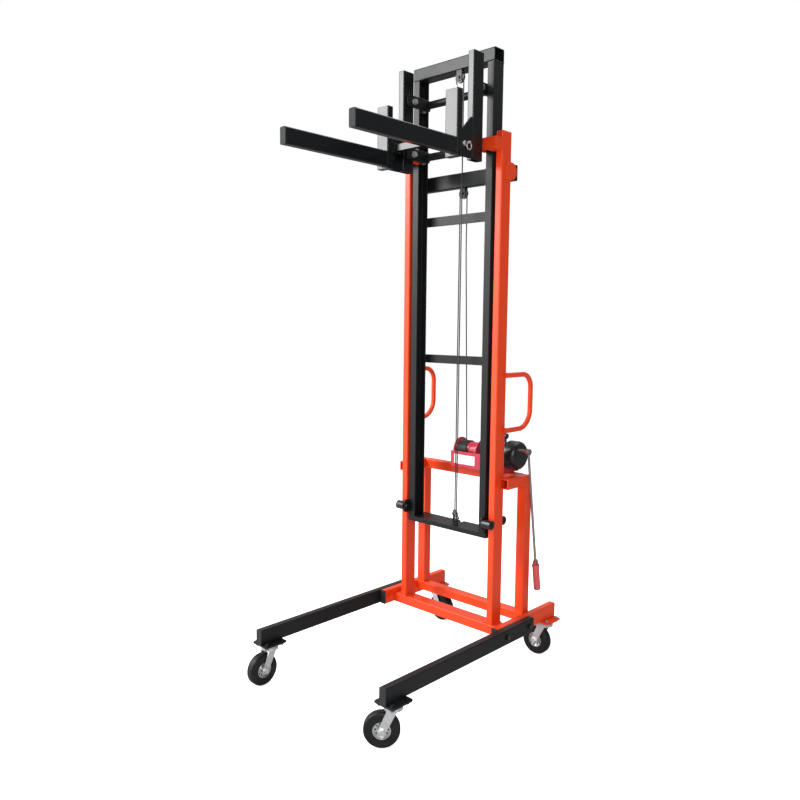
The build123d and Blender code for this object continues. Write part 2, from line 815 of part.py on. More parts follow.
# Carriage: two uprights, side plates that reach back into the mast, cross tubes with roller axles
carriage_y = post_front + carriage_tube_y
plate_inner = upright_inner - side_plate_t
channel_web = mast_outer - mast_wall
carriage_roller_r = tube_h / 2 - mast_wall - free
carriage_roller_x = channel_web - stack_gap - carriage_roller_w
upright_mid = (upright_inner + tube_w / 2, post_front - upright_rear - tube_h / 2)
upright = box_tube(level(carriage_bottom), upright_mid, tube_w, tube_h, upright_long)
with BuildPart() as carriage_uprights:
    with Locations((0, 0, 0), (-2 * upright_mid[0], 0, 0)):
        add(upright.part)
keep(carriage_uprights, "carriage_uprights")
with BuildPart() as carriage_axles:
    for tube_z in (upper_tube_z, lower_tube_z):
        with BuildSketch(facing_right(-upright_inner)):
            with Locations((carriage_y, tube_z)):
                Circle(cross_tube_d / 2)
        extrude(amount=2 * upright_inner)
        with BuildSketch(facing_right(-channel_web + stack_gap - free)):
            with Locations((carriage_y, tube_z)):
                Circle(carriage_axle_d / 2)
        extrude(amount=2 * (channel_web - stack_gap + free))
        for side, sign in sides:
            with BuildSketch(facing_right(sign * plate_inner)):
                with Locations((post_front + (side_plate_rear - side_plate_front) / 2, tube_z)):
                    RectangleRounded(side_plate_front + side_plate_rear, side_plate_h, side_plate_corner)
            extrude(amount=sign * side_plate_t)
    lug_y = post_front + top_sheave_y
    lug_x = top_sheave_x - sheave_pitch_r
    with BuildSketch(facing_right(lug_x - lug_t / 2)):
        with BuildLine():
            Polyline(
                (lug_y - lug_wide / 2, lug_z),
                (lug_y + lug_wide / 2, lug_z),
                (carriage_y + 0.2 * cross_tube_d, upper_tube_z),
                (lug_y - lug_wide / 2, upper_tube_z),
                close=True,
            )
        make_face()
    extrude(amount=lug_t)
keep(carriage_axles, "carriage_axles")
for name, tube_z in (("upper", upper_tube_z), ("lower", lower_tube_z)):
    with BuildPart() as carriage_rollers:
        for side, sign in sides:
            with BuildSketch(facing_right(sign * carriage_roller_x)):
                with Locations((carriage_y, tube_z)):
                    Circle(carriage_roller_r)
                    Circle(carriage_axle_d / 2 + running, mode=Mode.SUBTRACT)
            extrude(amount=sign * carriage_roller_w)
    keep(carriage_rollers, f"carriage_{name}_rollers")

# Fork beam: two end plates in front of the uprights, gussets up to them, and a square bar between
upright_front = post_front - upright_rear - tube_h
beam_face = post_front - beam_front
beam_end = upright_inner + tube_w
beam_mid_z = carriage_bottom + beam_high / 2
beam_top = carriage_bottom + beam_high
beam_deep = upright_front - beam_face
shank_rear = beam_face - fork_gap
sleeve_bore = fork_bar + 2 * slide_play
sleeve_out = sleeve_bore + 2 * sleeve_wall
fork_bar_y = shank_rear + sleeve_out / 2 - sleeve_bite
with BuildPart() as fork_beam:
    with BuildSketch(facing_right(-beam_end)):
        with Locations((fork_bar_y, fork_bar_z)):
            Rectangle(fork_bar, fork_bar)
    extrude(amount=2 * beam_end)
    for side, sign in sides:
        with BuildSketch(facing_right(sign * beam_end)):
            with Locations((beam_face + beam_deep / 2, beam_mid_z)):
                Rectangle(beam_deep, beam_high)
        extrude(amount=-sign * beam_wall)
        with BuildSketch(facing_right(sign * beam_end)):
            with Locations((post_front - pin_y, pin_z)):
                Circle(pin_d / 2 + running)
        extrude(amount=-sign * beam_wall, mode=Mode.SUBTRACT)
        with BuildSketch(facing_right(sign * beam_end)):
            with BuildLine():
                Polyline(
                    (beam_face + gusset_step, beam_top),
                    (upright_front, beam_top),
                    (upright_front, beam_top + gusset_rise),
                    (upright_front - gusset_top, beam_top + gusset_rise),
                    close=True,
                )
            make_face()
        extrude(amount=-sign * gusset_t)
keep(fork_beam, "fork_beam")

# Forks: a shank with a sleeve that slides on the beam's bar, and a long arm flush with its right side
shank_front = shank_rear - fork_shank_t
arm_mid_z = carriage_bottom + fork_arm_rise + tube_h / 2
for side, sign in sides:
    right_edge = fork_outer if sign > 0 else fork_shank_w - fork_outer
    shank_x = right_edge - fork_shank_w / 2
    sleeve_x = sign * (beam_end - beam_wall - slide_play - sleeve_long / 2)
    arm_cap = tube_cap(
        facing_front(post_front - fork_tip - running), (right_edge - tube_w / 2, arm_mid_z), tube_w, tube_h
    )
    with BuildPart() as fork:
        with BuildSketch(level(fork_shank_bottom)):
            with Locations((shank_x, shank_rear - fork_shank_t / 2)):
                RectangleRounded(fork_shank_w, fork_shank_t, 1.6 * tube_wall)
        extrude(amount=fork_shank_long)
        with BuildSketch(facing_front(post_front - fork_tip)):
            with Locations((right_edge - tube_w / 2, arm_mid_z)):
                RectangleRounded(tube_w, tube_h, 1.6 * tube_wall)
        extrude(amount=-(fork_tip - post_front + shank_front))
        with BuildSketch(facing_front(post_front - fork_tip)):
            with Locations((right_edge - tube_w / 2, arm_mid_z)):
                RectangleRounded(tube_w - 2 * tube_wall, tube_h - 2 * tube_wall, 0.6 * tube_wall)
        extrude(amount=-(fork_tip - post_front + shank_front), mode=Mode.SUBTRACT)
        with BuildSketch(facing_right(sleeve_x - sleeve_long / 2)):
            with Locations((fork_bar_y, fork_bar_z)):
                Rectangle(sleeve_out, sleeve_out)
                Rectangle(sleeve_bore, sleeve_bore, mode=Mode.SUBTRACT)
        extrude(amount=sleeve_long)
        add(arm_cap.part)
    keep(fork, f"{side}_fork")

    with BuildPart() as fork_pin:
        with BuildSketch(facing_right(sign * (beam_end - beam_wall))):
            with Locations((post_front - pin_y, pin_z)):
                Circle(pin_d / 2)
        extrude(amount=sign * pin_long)
        with BuildSketch(facing_right(sign * (beam_end + free))):
            with Locations((post_front - pin_y, pin_z)):
                Circle(0.9 * pin_d)
        extrude(amount=sign * pin_collar_t)
        ring_x = sign * (beam_end + pin_long - beam_wall - pin_ring_inset)
        ring_centre = (ring_x, post_front - pin_y, pin_z - pin_ring_d / 2)
        with BuildSketch(Plane(ring_centre, x_dir=(0, 1, 0), z_dir=(0, 0, 1))):
            with Locations((pin_ring_d / 2, 0)):
                Circle(pin_ring_wire / 2)
        revolve(axis=Axis(ring_centre, (1, 0, 0)))
    keep(fork_pin, f"{side}_fork_pin")

# Winch frame: a base on the stand's bar, a front flange, two drum plates and an end plate
base_low = stand_top
base_top = base_low + winch_base_t
axis_y = post_front + drum_y
pinion_y = axis_y + pinion_back
gear_pitch_r = gear_module * gear_teeth / 2
pinion_pitch_r = gear_module * pinion_teeth / 2
mesh_distance = gear_pitch_r + pinion_pitch_r + free / 2
pinion_z = drum_z + sqrt(mesh_distance**2 - pinion_back**2)
end_plate_x = winch_right - winch_plate_t
with BuildPart() as winch_frame:
    with BuildSketch(level(base_low)):
        with BuildLine():
            Polyline(
                (winch_left, post_front + winch_front),
                (winch_right, post_front + winch_front),
                (winch_right, post_front + winch_rear),
                (winch_left, post_front + winch_rear),
                close=True,
            )
        make_face()
    extrude(amount=winch_base_t)
    with BuildSketch(facing_front(post_front + winch_front)):
        with Locations(((winch_left + winch_right) / 2, (base_low + winch_front_top) / 2)):
            Rectangle(winch_right - winch_left, winch_front_top - base_low)
    extrude(amount=-winch_plate_t)
    for plate_x in (drum_left_plate, drum_right_plate):
        with BuildSketch(facing_right(plate_x)):
            with Locations((axis_y, (base_top + drum_z) / 2)):
                Rectangle(2 * winch_cheek_r, drum_z - base_top)
            with Locations((axis_y, drum_z)):
                Circle(winch_cheek_r)
        extrude(amount=winch_plate_t)
    with BuildSketch(facing_right(end_plate_x)):
        with BuildLine():
            Polyline(
                (pinion_y - end_plate_margin, base_low),
                (axis_y + winch_cheek_r / 2, base_low),
                (axis_y + winch_cheek_r / 2, drum_z + end_plate_shoulder),
                (axis_y, pinion_z + end_plate_margin),
                (pinion_y - end_plate_margin, pinion_z + end_plate_margin),
                close=True,
            )
        make_face()
    extrude(amount=winch_plate_t)
    with BuildSketch(facing_right(winch_left)):
        with Locations((axis_y, drum_z)):
            Circle(drum_shaft_d / 2 + running)
    extrude(amount=winch_right - winch_left, mode=Mode.SUBTRACT)
    with BuildSketch(facing_right(end_plate_x)):
        with Locations((pinion_y, pinion_z)):
            Circle(crank_shaft_d / 2 + running)
    extrude(amount=winch_plate_t, mode=Mode.SUBTRACT)
    with BuildSketch(facing_right(end_plate_x)):
        with Locations((post_front + lever_pivot_y, lever_pivot_z)):
            Circle(lever_stud_d / 2)
    extrude(amount=lever_x - end_plate_x - stack_gap)
keep(winch_frame, "winch_frame")

# Drum with its flanges, shaft and gear
flange_left = drum_left_plate + winch_plate_t + stack_gap
flange_right = drum_right_plate - stack_gap - drum_flange_t
core_r = drum_rope_r - rope_r - free
circular_pitch = pi * gear_module
mesh_angle = degrees(atan2(pinion_z - drum_z, pinion_back))


def toothed_wheel(plane, middle, teeth, first_tooth, width):
    """A spur gear with straight flanks and ample play."""
    pitch_r = gear_module * teeth / 2
    root_r = pitch_r - 1.25 * gear_module
    tip_r = pitch_r + 0.9 * gear_module
    with BuildPart() as gear:
        with BuildSketch(plane):
            with Locations(middle):
                Circle(root_r)
                with PolarLocations(0, teeth, start_angle=first_tooth):
                    Polygon(
                        (root_r - 1, -0.23 * circular_pitch),
                        (tip_r, -0.1 * circular_pitch),
                        (tip_r, 0.1 * circular_pitch),
                        (root_r - 1, 0.23 * circular_pitch),
                        align=None,
                    )
        extrude(amount=width)
    return gear


drum_gear = toothed_wheel(facing_right(gear_x), (axis_y, drum_z), gear_teeth, mesh_angle, gear_w)
with BuildPart() as winch_drum:
    with BuildSketch(facing_right(flange_left)):
        with Locations((axis_y, drum_z)):
            Circle(core_r)
    extrude(amount=flange_right - flange_left)
    for flange_x in (flange_left, flange_right):
        with BuildSketch(facing_right(flange_x)):
            with Locations((axis_y, drum_z)):
                Circle(drum_flange_d / 2)
        extrude(amount=drum_flange_t)
    with BuildSketch(facing_right(drum_left_plate - stack_gap)):
        with Locations((axis_y, drum_z)):
            Circle(drum_shaft_d / 2)
    extrude(amount=gear_x + gear_w + stack_gap - drum_left_plate + stack_gap)
    add(drum_gear.part)
keep(winch_drum, "winch_drum")


# Rope on the drum: the outer layer's turns, which end one pitch beside the fixed lead's last half turn
lead_top = Vector(head_sheave_x + sheave_pitch_r, post_front + head_sheave_y, head_sheave_z)
lead_bend = Vector(lead_top.X, lead_top.Y, lead_bend_z)
reach_y = lead_bend.Y - axis_y
reach_z = lead_bend.Z - drum_z
leave_angle = atan2(reach_z, reach_y) + acos(drum_rope_r / hypot(reach_y, reach_z))
last_turn = (drum_rope_leaves - drum_rope_left) / drum_rope_pitch
first_turn = drum_rope_wrap + 1


def on_drum(turn):
    """A point of the winding, some turns before the rope leaves the drum."""
    angle = leave_angle + 2 * pi * turn
    return Vector(
        drum_rope_leaves - drum_rope_pitch * turn,
        axis_y + drum_rope_r * cos(angle),
        drum_z + drum_rope_r * sin(angle),
    )


quarter_turns = ceil(4 * (last_turn - first_turn))
with BuildLine() as winding:
    stations = [on_drum(first_turn + step / 4) for step in range(quarter_turns + 1)]
    way = on_drum(first_turn + 0.001) - on_drum(first_turn - 0.001)
    for point, next_point in zip(stations[:-1], stations[1:]):
        step = TangentArc(point, next_point, tangent=way)
        way = step % 1
    Line(step @ 1, step @ 1 + way * rope_d)
keep(rope_tube(winding), "drum_rope")
coil = winding.wire()
length = coil.length
samples = [coil @ (i / 2000) for i in range(2001)]
spacing = length / 2000
skip = int(pi * drum_rope_r / spacing)
least = min(
    dist(tuple(samples[i]), tuple(samples[j]))
    for i in range(0, 2001, 4)
    for j in range(i + skip, 2001)
)
print(f"rope on the drum: {quarter_turns / 4} turns, length {length:.0f} mm")
print(f"least gap between its turns: {least - rope_d:.2f} mm")

# The rope's fixed lead: half a turn on the drum, then up to the head sheave and over it
leave = on_drum(0)
leave_way = (lead_bend - leave).normalized()
with BuildLine() as lead:
    late = TangentArc(leave, on_drum(drum_rope_wrap / 2), tangent=leave_way * -1, mode=Mode.PRIVATE)
    early = TangentArc(late @ 1, on_drum(drum_rope_wrap), tangent=late % 1, mode=Mode.PRIVATE)
    ThreePointArc(early @ 1, early @ 0.5, early @ 0)
    ThreePointArc(late @ 1, late @ 0.5, late @ 0)
    run = FilletPolyline(leave, lead_bend, lead_top, radius=lead_bend_r)
    ThreePointArc(
        run @ 1,
        (head_sheave_x, lead_top.Y, head_sheave_z + sheave_pitch_r),
        (head_sheave_x - sheave_pitch_r, lead_top.Y, head_sheave_z),
    )
keep(rope_tube(lead), "rope_lead")

# The fall from the head sheave to the mast's foot
with BuildLine() as fall:
    Line((fall_foot.X, fall_foot.Y, head_sheave_z), (fall_foot.X, fall_foot.Y, foot_sheave_z + free))
keep(rope_tube(fall), "rope_fall")

# The mast's own run: under both foot sheaves, up the mast and over the top sheave
quarter = sqrt(0.5) * foot_pitch_r
down = Vector(0, 0, 1)
rear_centre = rear_foot_plane.origin
front_centre = front_foot_plane.origin
with BuildLine() as rise:
    ThreePointArc(fall_foot, rear_centre - (foot_way + down) * quarter, rear_centre - down * foot_pitch_r)
    Line(rear_centre - down * foot_pitch_r, front_centre - down * foot_pitch_r)
    ThreePointArc(front_centre - down * foot_pitch_r, front_centre + (foot_way - down) * quarter, rise_foot)
    Line(rise_foot, (rise_foot.X, rise_foot.Y, top_sheave_z))
    ThreePointArc(
        (rise_foot.X, rise_foot.Y, top_sheave_z),
        (top_sheave_x, rise_foot.Y, top_sheave_z + sheave_pitch_r),
        (top_sheave_x - sheave_pitch_r, rise_foot.Y, top_sheave_z),
    )
keep(rope_tube(rise), "rope_rise")

# The drop from the top sheave to the lug on the carriage
with BuildLine() as drop:
    Line((lug_x, lug_y, top_sheave_z), (lug_x, lug_y, lug_z + free))
keep(rope_tube(drop), "rope_drop")

# Gear cover: a round black hood over the gear and the pinion
cover_left = winch_right
with BuildPart() as gear_cover:
    with BuildSketch(facing_right(cover_left)):
        with Locations((post_front + cover_y, cover_z)):
            Circle(cover_d / 2)
    extrude(amount=cover_right - cover_left)
    outer_rim = gear_cover.edges().filter_by(GeomType.CIRCLE).sort_by(Axis.X)[-1]
    fillet(outer_rim, cover_round)
    open_face = gear_cover.faces().sort_by(Axis.X)[0]
    offset(amount=-cover_wall, openings=open_face)
    with BuildSketch(facing_right(cover_left)):
        with Locations((pinion_y, pinion_z)):
            Circle(crank_shaft_d / 2 + free)
    extrude(amount=cover_right - cover_left, mode=Mode.SUBTRACT)
keep(gear_cover, "gear_cover")

# Crank: the pinion's shaft, a hub outside the stand and a long thin rod that hangs down from it
pinion_tooth = mesh_angle + 180 + 180 / pinion_teeth
pinion = toothed_wheel(facing_right(gear_x), (pinion_y, pinion_z), pinion_teeth, pinion_tooth, gear_w)
hinge_y = pinion_y + crank_back
hinge_z = pinion_z - crank_drop
crank_top = Vector(crank_x, pinion_y, pinion_z)
hinge = Vector(crank_x, hinge_y, hinge_z)
crank_way = (hinge - crank_top).normalized()
across = crank_way.cross(Vector(1, 0, 0))
with BuildPart() as crank:
    with BuildSketch(facing_right(end_plate_x - stack_gap)):
        with Locations((pinion_y, pinion_z)):
            Circle(crank_shaft_d / 2)
    extrude(amount=crank_x - end_plate_x + stack_gap)
    add(pinion.part)
    with BuildSketch(facing_right(crank_x - crank_hub_t / 2)):
        with Locations((pinion_y, pinion_z)):
            Circle(crank_hub_d / 2)
    extrude(amount=crank_hub_t)
    with BuildSketch(Plane(crank_top, z_dir=crank_way)):
        Circle(crank_rod_d / 2)
    extrude(amount=(hinge - crank_top).length - grip_knuckle_w)
    with BuildSketch(Plane(hinge - crank_way * grip_knuckle_w, x_dir=(1, 0, 0), z_dir=crank_way)):
        Rectangle(crank_rod_d, grip_knuckle_w)
    extrude(amount=grip_knuckle_w + grip_pin_d)
    with BuildSketch(Plane(hinge - across * grip_knuckle_w, x_dir=(1, 0, 0), z_dir=across)):
        Circle(grip_pin_d / 2)
    extrude(amount=2 * grip_knuckle_w)
keep(crank, "crank")

# Grip, folded in line with the rod: two ears on the hinge pin, a collar and a round handle
ear_mid = grip_knuckle_w / 2 + free + grip_ear_t / 2
with BuildPart() as crank_grip:
    with BuildSketch(Plane(hinge - crank_way * grip_pin_d, x_dir=(1, 0, 0), z_dir=crank_way)):
        with Locations((0, -ear_mid), (0, ear_mid)):
            Rectangle(2 * grip_pin_d, grip_ear_t)
    extrude(amount=grip_pin_d + grip_start)
    with BuildSketch(Plane(hinge - across * 2 * grip_knuckle_w, x_dir=(1, 0, 0), z_dir=across)):
        Circle(grip_pin_d / 2 + running)
    extrude(amount=4 * grip_knuckle_w, mode=Mode.SUBTRACT)
    with BuildSketch(Plane(hinge + crank_way * grip_start, x_dir=(1, 0, 0), z_dir=crank_way)):
        Circle(grip_r + 2)
    extrude(amount=grip_collar_t)
    grip_foot = hinge + crank_way * (grip_start + grip_collar_t)
    with BuildSketch(Plane(grip_foot, x_dir=(1, 0, 0), z_dir=crank_way)):
        Circle(grip_r)
    extrude(amount=grip_long)
    grip_end = crank_grip.edges().filter_by(GeomType.CIRCLE).sort_by(Axis.Z)[0]
    fillet(grip_end, 0.5 * grip_r)
keep(crank_grip, "crank_grip")

# Ratchet lever: a flat lever on a stud of the end plate, with a round knob
pivot_y = post_front + lever_pivot_y
with BuildPart() as ratchet_lever:
    with BuildSketch(facing_right(lever_x - lever_t / 2)):
        with Locations((pivot_y, lever_pivot_z)):
            Circle(lever_boss_d / 2)
        with Locations((pivot_y, lever_pivot_z + lever_long / 2)):
            Rectangle(lever_wide, lever_long)
    extrude(amount=lever_t)
    with BuildSketch(facing_right(lever_x - lever_knob_long / 2)):
        with Locations((pivot_y, lever_pivot_z + lever_long)):
            Circle(lever_knob_d / 2)
    extrude(amount=lever_knob_long)
    with BuildSketch(facing_right(lever_x - lever_t / 2)):
        with Locations((pivot_y, lever_pivot_z)):
            Circle(lever_stud_d / 2 + running)
    extrude(amount=lever_t, mode=Mode.SUBTRACT)
keep(ratchet_lever, "ratchet_lever")
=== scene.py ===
# %% [markdown]
# A hand-winch pipe lift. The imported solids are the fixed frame: tubes, plates, rollers and casters keep
# their own shapes and get their finishes here. The plain rope of the solids is replaced by a stranded wire
# rope, and weld beads, bolts on the carriage, a ferrule and a blank plate are added. Everything is in
# metres, in the frame of the solids.

import bmesh
import bpy
import json
from math import acos, atan2, cos, hypot, pi, radians, sin, sqrt
from mathutils import Matrix, Vector


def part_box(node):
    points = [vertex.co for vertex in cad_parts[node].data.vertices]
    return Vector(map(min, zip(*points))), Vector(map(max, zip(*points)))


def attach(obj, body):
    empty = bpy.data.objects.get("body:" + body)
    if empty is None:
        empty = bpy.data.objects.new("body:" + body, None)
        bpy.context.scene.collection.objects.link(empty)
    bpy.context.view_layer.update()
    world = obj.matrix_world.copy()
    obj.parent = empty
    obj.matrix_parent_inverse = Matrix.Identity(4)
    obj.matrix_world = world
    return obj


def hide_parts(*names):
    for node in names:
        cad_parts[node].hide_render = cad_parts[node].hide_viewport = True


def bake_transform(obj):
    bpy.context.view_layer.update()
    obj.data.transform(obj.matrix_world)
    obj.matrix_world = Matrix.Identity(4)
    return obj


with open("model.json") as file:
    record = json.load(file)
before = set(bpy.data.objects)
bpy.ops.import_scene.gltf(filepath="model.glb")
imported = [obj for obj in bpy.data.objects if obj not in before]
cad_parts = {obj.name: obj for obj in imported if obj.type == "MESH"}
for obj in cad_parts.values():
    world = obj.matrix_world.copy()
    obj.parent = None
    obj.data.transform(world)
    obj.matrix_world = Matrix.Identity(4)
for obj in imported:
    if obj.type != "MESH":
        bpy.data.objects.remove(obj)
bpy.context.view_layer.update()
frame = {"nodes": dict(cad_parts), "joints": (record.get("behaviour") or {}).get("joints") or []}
nodes = frame["nodes"]
scene = bpy.context.scene
# The front face of the posts: depths are measured from it
post_front = 0.20025

# %% [markdown]
# The photograph was taken from the front right, a little below the middle of the mast. The camera's place
# and turn were fitted to the tubes' edges, and the lens follows from the same fit.

# %% Camera
camera_place = Vector((1.999, post_front - 2.40, 1.40))
heading, pitch, roll = radians(43.35), radians(5.706), radians(0.549)
ahead = Vector((-sin(heading) * cos(pitch), cos(heading) * cos(pitch), -sin(pitch)))
level_right = Vector((cos(heading), sin(heading), 0))
level_down = ahead.cross(level_right)
right = cos(roll) * level_right - sin(roll) * level_down
up = -(sin(roll) * level_right + cos(roll) * level_down)
camera = bpy.data.objects.new("camera", bpy.data.cameras.new("camera"))
camera.data.sensor_width = 36
camera.data.lens = 34.32
camera.data.clip_end = 60
camera_turn = Matrix((right, up, -ahead)).transposed().to_4x4()
camera.matrix_world = Matrix.Translation(camera_place) @ camera_turn
scene.collection.objects.link(camera)
scene.camera = camera
scene.view_settings.view_transform = "Standard"
print("camera at", [round(v, 3) for v in camera_place])

# %% [markdown]
# Each finish is a small tree of nodes. The helper below starts one: it makes the material, keeps its
# shader at hand and lets a finish be written as a few lines that add nodes and join them. An edge is told
# by the cosine between the rounded normal and the flat one.

# %% A helper for finishes
nearly_flat, well_rounded = 0.995, 0.80


class Finish:
    """A material being made: node() adds a node, join() links two sockets."""

    def __init__(self, name, roughness, metallic=0.0):
        self.material = bpy.data.materials.new(name)
        self.material.use_nodes = True
        self.tree = self.material.node_tree
        self.shader = self.tree.nodes["Principled BSDF"]
        self.shader.inputs["Roughness"].default_value = roughness
        self.shader.inputs["Metallic"].default_value = metallic
        self.place = self.node("ShaderNodeTexCoord").outputs["Object"]

    def node(self, kind, **values):
        made = self.tree.nodes.new(kind)
        for key, value in values.items():
            setattr(made, key, value)
        return made

    def join(self, out, into):
        self.tree.links.new(out, into)

    def noise(self, scale, detail=3.0):
        made = self.node("ShaderNodeTexNoise")
        made.inputs["Scale"].default_value = scale
        made.inputs["Detail"].default_value = detail
        self.join(self.place, made.inputs["Vector"])
        return made.outputs["Fac"]

    def ramp(self, fac, low, high, stops=(0.35, 0.65)):
        made = self.node("ShaderNodeValToRGB")
        made.color_ramp.elements[0].position = stops[0]
        made.color_ramp.elements[1].position = stops[1]
        made.color_ramp.elements[0].color = (*low, 1)
        made.color_ramp.elements[1].color = (*high, 1)
        self.join(fac, made.inputs["Fac"])
        return made.outputs["Color"]

    def span(self, fac, low, high):
        made = self.node("ShaderNodeMapRange")
        made.inputs["To Min"].default_value = low
        made.inputs["To Max"].default_value = high
        self.join(fac, made.inputs["Value"])
        return made.outputs["Result"]

    def mix(self, fac, first, second):
        made = self.node("ShaderNodeMix", data_type="RGBA")
        self.join(fac, made.inputs["Factor"])
        for value, socket in ((first, made.inputs["A"]), (second, made.inputs["B"])):
            if isinstance(value, tuple):
                socket.default_value = (*value, 1)
            else:
                self.join(value, socket)
        return made.outputs["Result"]

    def math(self, operation, first, second=None):
        made = self.node("ShaderNodeMath", operation=operation)
        for value, socket in zip((first, second), made.inputs):
            if isinstance(value, (int, float)):
                socket.default_value = value
            elif value is not None:
                self.join(value, socket)
        return made.outputs["Value"]

    def bump(self, height, strength, distance, normal):
        made = self.node("ShaderNodeBump")
        made.inputs["Strength"].default_value = strength
        made.inputs["Distance"].default_value = distance
        self.join(height, made.inputs["Height"])
        self.join(normal, made.inputs["Normal"])
        self.join(made.outputs["Normal"], self.shader.inputs["Normal"])

    def beyond(self, axis, limit, both_ways=False):
        """A mask that is 1 where the place along one axis is over the limit."""
        made = self.node("ShaderNodeSeparateXYZ")
        self.join(self.place, made.inputs["Vector"])
        along = self.math("ABSOLUTE", made.outputs[axis]) if both_ways else made.outputs[axis]
        return self.math("GREATER_THAN", along, limit)

    def soft_edge(self, radius):
        """A normal that rounds the edges."""
        made = self.node("ShaderNodeBevel", samples=4)
        made.inputs["Radius"].default_value = radius
        return made.outputs["Normal"]

    def edge_mask(self, edge_normal):
        """A mask that is 1 where the rounded normal leans away from the flat one."""
        flat = self.node("ShaderNodeNewGeometry").outputs["True Normal"]
        dot = self.node("ShaderNodeVectorMath", operation="DOT_PRODUCT")
        self.join(edge_normal, dot.inputs[0])
        self.join(flat, dot.inputs[1])
        mask = self.node("ShaderNodeMapRange")
        mask.inputs["From Min"].default_value = nearly_flat
        mask.inputs["From Max"].default_value = well_rounded
        self.join(dot.outputs["Value"], mask.inputs["Value"])
        return mask.outputs["Result"]


print("finish helper ready")

# %% [markdown]
# The tubes are sprayed: orange-red on the fixed frame, satin black on the mast and the legs, a glossier
# and deeper black on the carriage and forks, and a cooler red on the winch. Sprayed paint has a fine
# orange-peel skin, its gloss drifts a little over a metre of tube, and its edges wear to a paler line with
# a few chips. The forks' tips are closed with dull plastic caps, told from the paint by their place.

# %% Sprayed paint
fork_cap_y = post_front - 0.7121
cap_roughness = 0.75


def sprayed_paint(name, colour, shade, worn, roughness, chip, shine=0.5, capped=False):
    made = Finish(name, roughness)
    edge_normal = made.soft_edge(0.003)
    edge = made.edge_mask(edge_normal)
    tone_drift, speckle = made.noise(2.2, 4), made.noise(260, 2)
    gloss_drift, orange_peel = made.noise(7, 5), made.noise(620, 2)
    tone = made.ramp(tone_drift, shade, colour)
    rough_edge = made.math("MULTIPLY", edge, made.span(speckle, 0.0, chip))
    tone = made.mix(rough_edge, tone, worn)
    gloss = made.span(gloss_drift, roughness - 0.05, roughness + 0.07)
    if capped:
        painted = made.beyond("Y", fork_cap_y)
        tone = made.mix(painted, cap_black, tone)
        gloss = made.math("MAXIMUM", gloss, made.span(painted, cap_roughness, 0.0))
    made.join(tone, made.shader.inputs["Base Color"])
    made.join(gloss, made.shader.inputs["Roughness"])
    made.bump(orange_peel, 0.08, 0.0006, edge_normal)
    made.shader.inputs["Specular IOR Level"].default_value = shine
    return made.material


cap_black = (0.016, 0.017, 0.018)
orange, deep_orange, worn_orange = (0.81, 0.060, 0.008), (0.74, 0.048, 0.006), (0.92, 0.22, 0.08)
black, deep_black, worn_black = (0.010, 0.011, 0.012), (0.006, 0.007, 0.008), (0.06, 0.06, 0.06)
jet, deep_jet = (0.004, 0.0055, 0.0065), (0.003, 0.004, 0.005)
cool_red, deep_red, worn_red = (0.58, 0.020, 0.060), (0.48, 0.014, 0.045), (0.78, 0.20, 0.22)
orange_paint = sprayed_paint("orange_paint", orange, deep_orange, worn_orange, 0.34, 0.7, shine=0.36)
satin_black = sprayed_paint("satin_black_paint", black, deep_black, worn_black, 0.40, 0.5, shine=0.26)
gloss_black = sprayed_paint(
    "gloss_black_paint", jet, deep_jet, worn_black, 0.24, 0.5, shine=0.38, capped=True
)
winch_paint = sprayed_paint("winch_paint", cool_red, deep_red, worn_red, 0.34, 0.7)
print("paints ready")

# %% [markdown]
# Casters, bolts and pins are zinc-plated: a pale metal with a faint crystal pattern and uneven gloss.
# Rollers and foot sheaves are turned steel. The rope and the two upper sheaves are darker, from its
# grease. The legs were bolted on before painting, so those bolts are black outside and orange inside, the
# front casters' bolts are black, and only the rear casters' bolts are bare: the place decides.

# %% Bare metals
rail_middle = 0.320
bare_bolts_y, front_caster_y = post_front + 0.20, post_front - 0.30


def plated_metal(name, colour, shade, roughness, painted=False):
    made = Finish(name, roughness, 1.0)
    crystals = made.node("ShaderNodeTexVoronoi", feature="SMOOTH_F1")
    crystals.inputs["Scale"].default_value = 130
    made.join(made.place, crystals.inputs["Vector"])
    edge_normal = made.soft_edge(0.0012)
    edge = made.edge_mask(edge_normal)
    tone = made.ramp(crystals.outputs["Distance"], shade, colour, (0.1, 0.6))
    tone = made.mix(edge, tone, colour)
    if painted:
        bare = made.beyond("Y", bare_bolts_y)
        by_leg = made.beyond("X", rail_middle, both_ways=True)
        by_front_caster = made.math("SUBTRACT", 1.0, made.beyond("Y", front_caster_y))
        paint = made.mix(made.math("MAXIMUM", by_leg, by_front_caster), orange, black)
        tone = made.mix(bare, paint, tone)
        made.join(bare, made.shader.inputs["Metallic"])
    made.join(tone, made.shader.inputs["Base Color"])
    gloss = made.span(made.noise(45, 5), roughness - 0.08, roughness + 0.12)
    made.join(gloss, made.shader.inputs["Roughness"])
    made.bump(made.noise(900, 2), 0.08, 0.0003, edge_normal)
    return made.material


zinc = plated_metal("zinc_plate", (0.84, 0.85, 0.86), (0.68, 0.69, 0.70), 0.40)
bolt_zinc = plated_metal("bolt_zinc", (0.60, 0.61, 0.62), (0.46, 0.47, 0.48), 0.34, painted=True)
turned_steel = plated_metal("turned_steel", (0.42, 0.42, 0.42), (0.32, 0.32, 0.33), 0.32)
rope_steel = plated_metal("rope_steel", (0.085, 0.085, 0.083), (0.040, 0.040, 0.040), 0.45)
print("metals ready")

# %% [markdown]
# The gear cover, guide rollers, end caps, pedals and knob are moulded black plastic with a fine
# spark-eroded grain. The crank's grip is a pinkish-red plastic, and the winch's blank plate a white one.
# End caps above post_cap_z close the posts and are painted over in orange.

# %% Moulded plastics
post_cap_z = 2.0


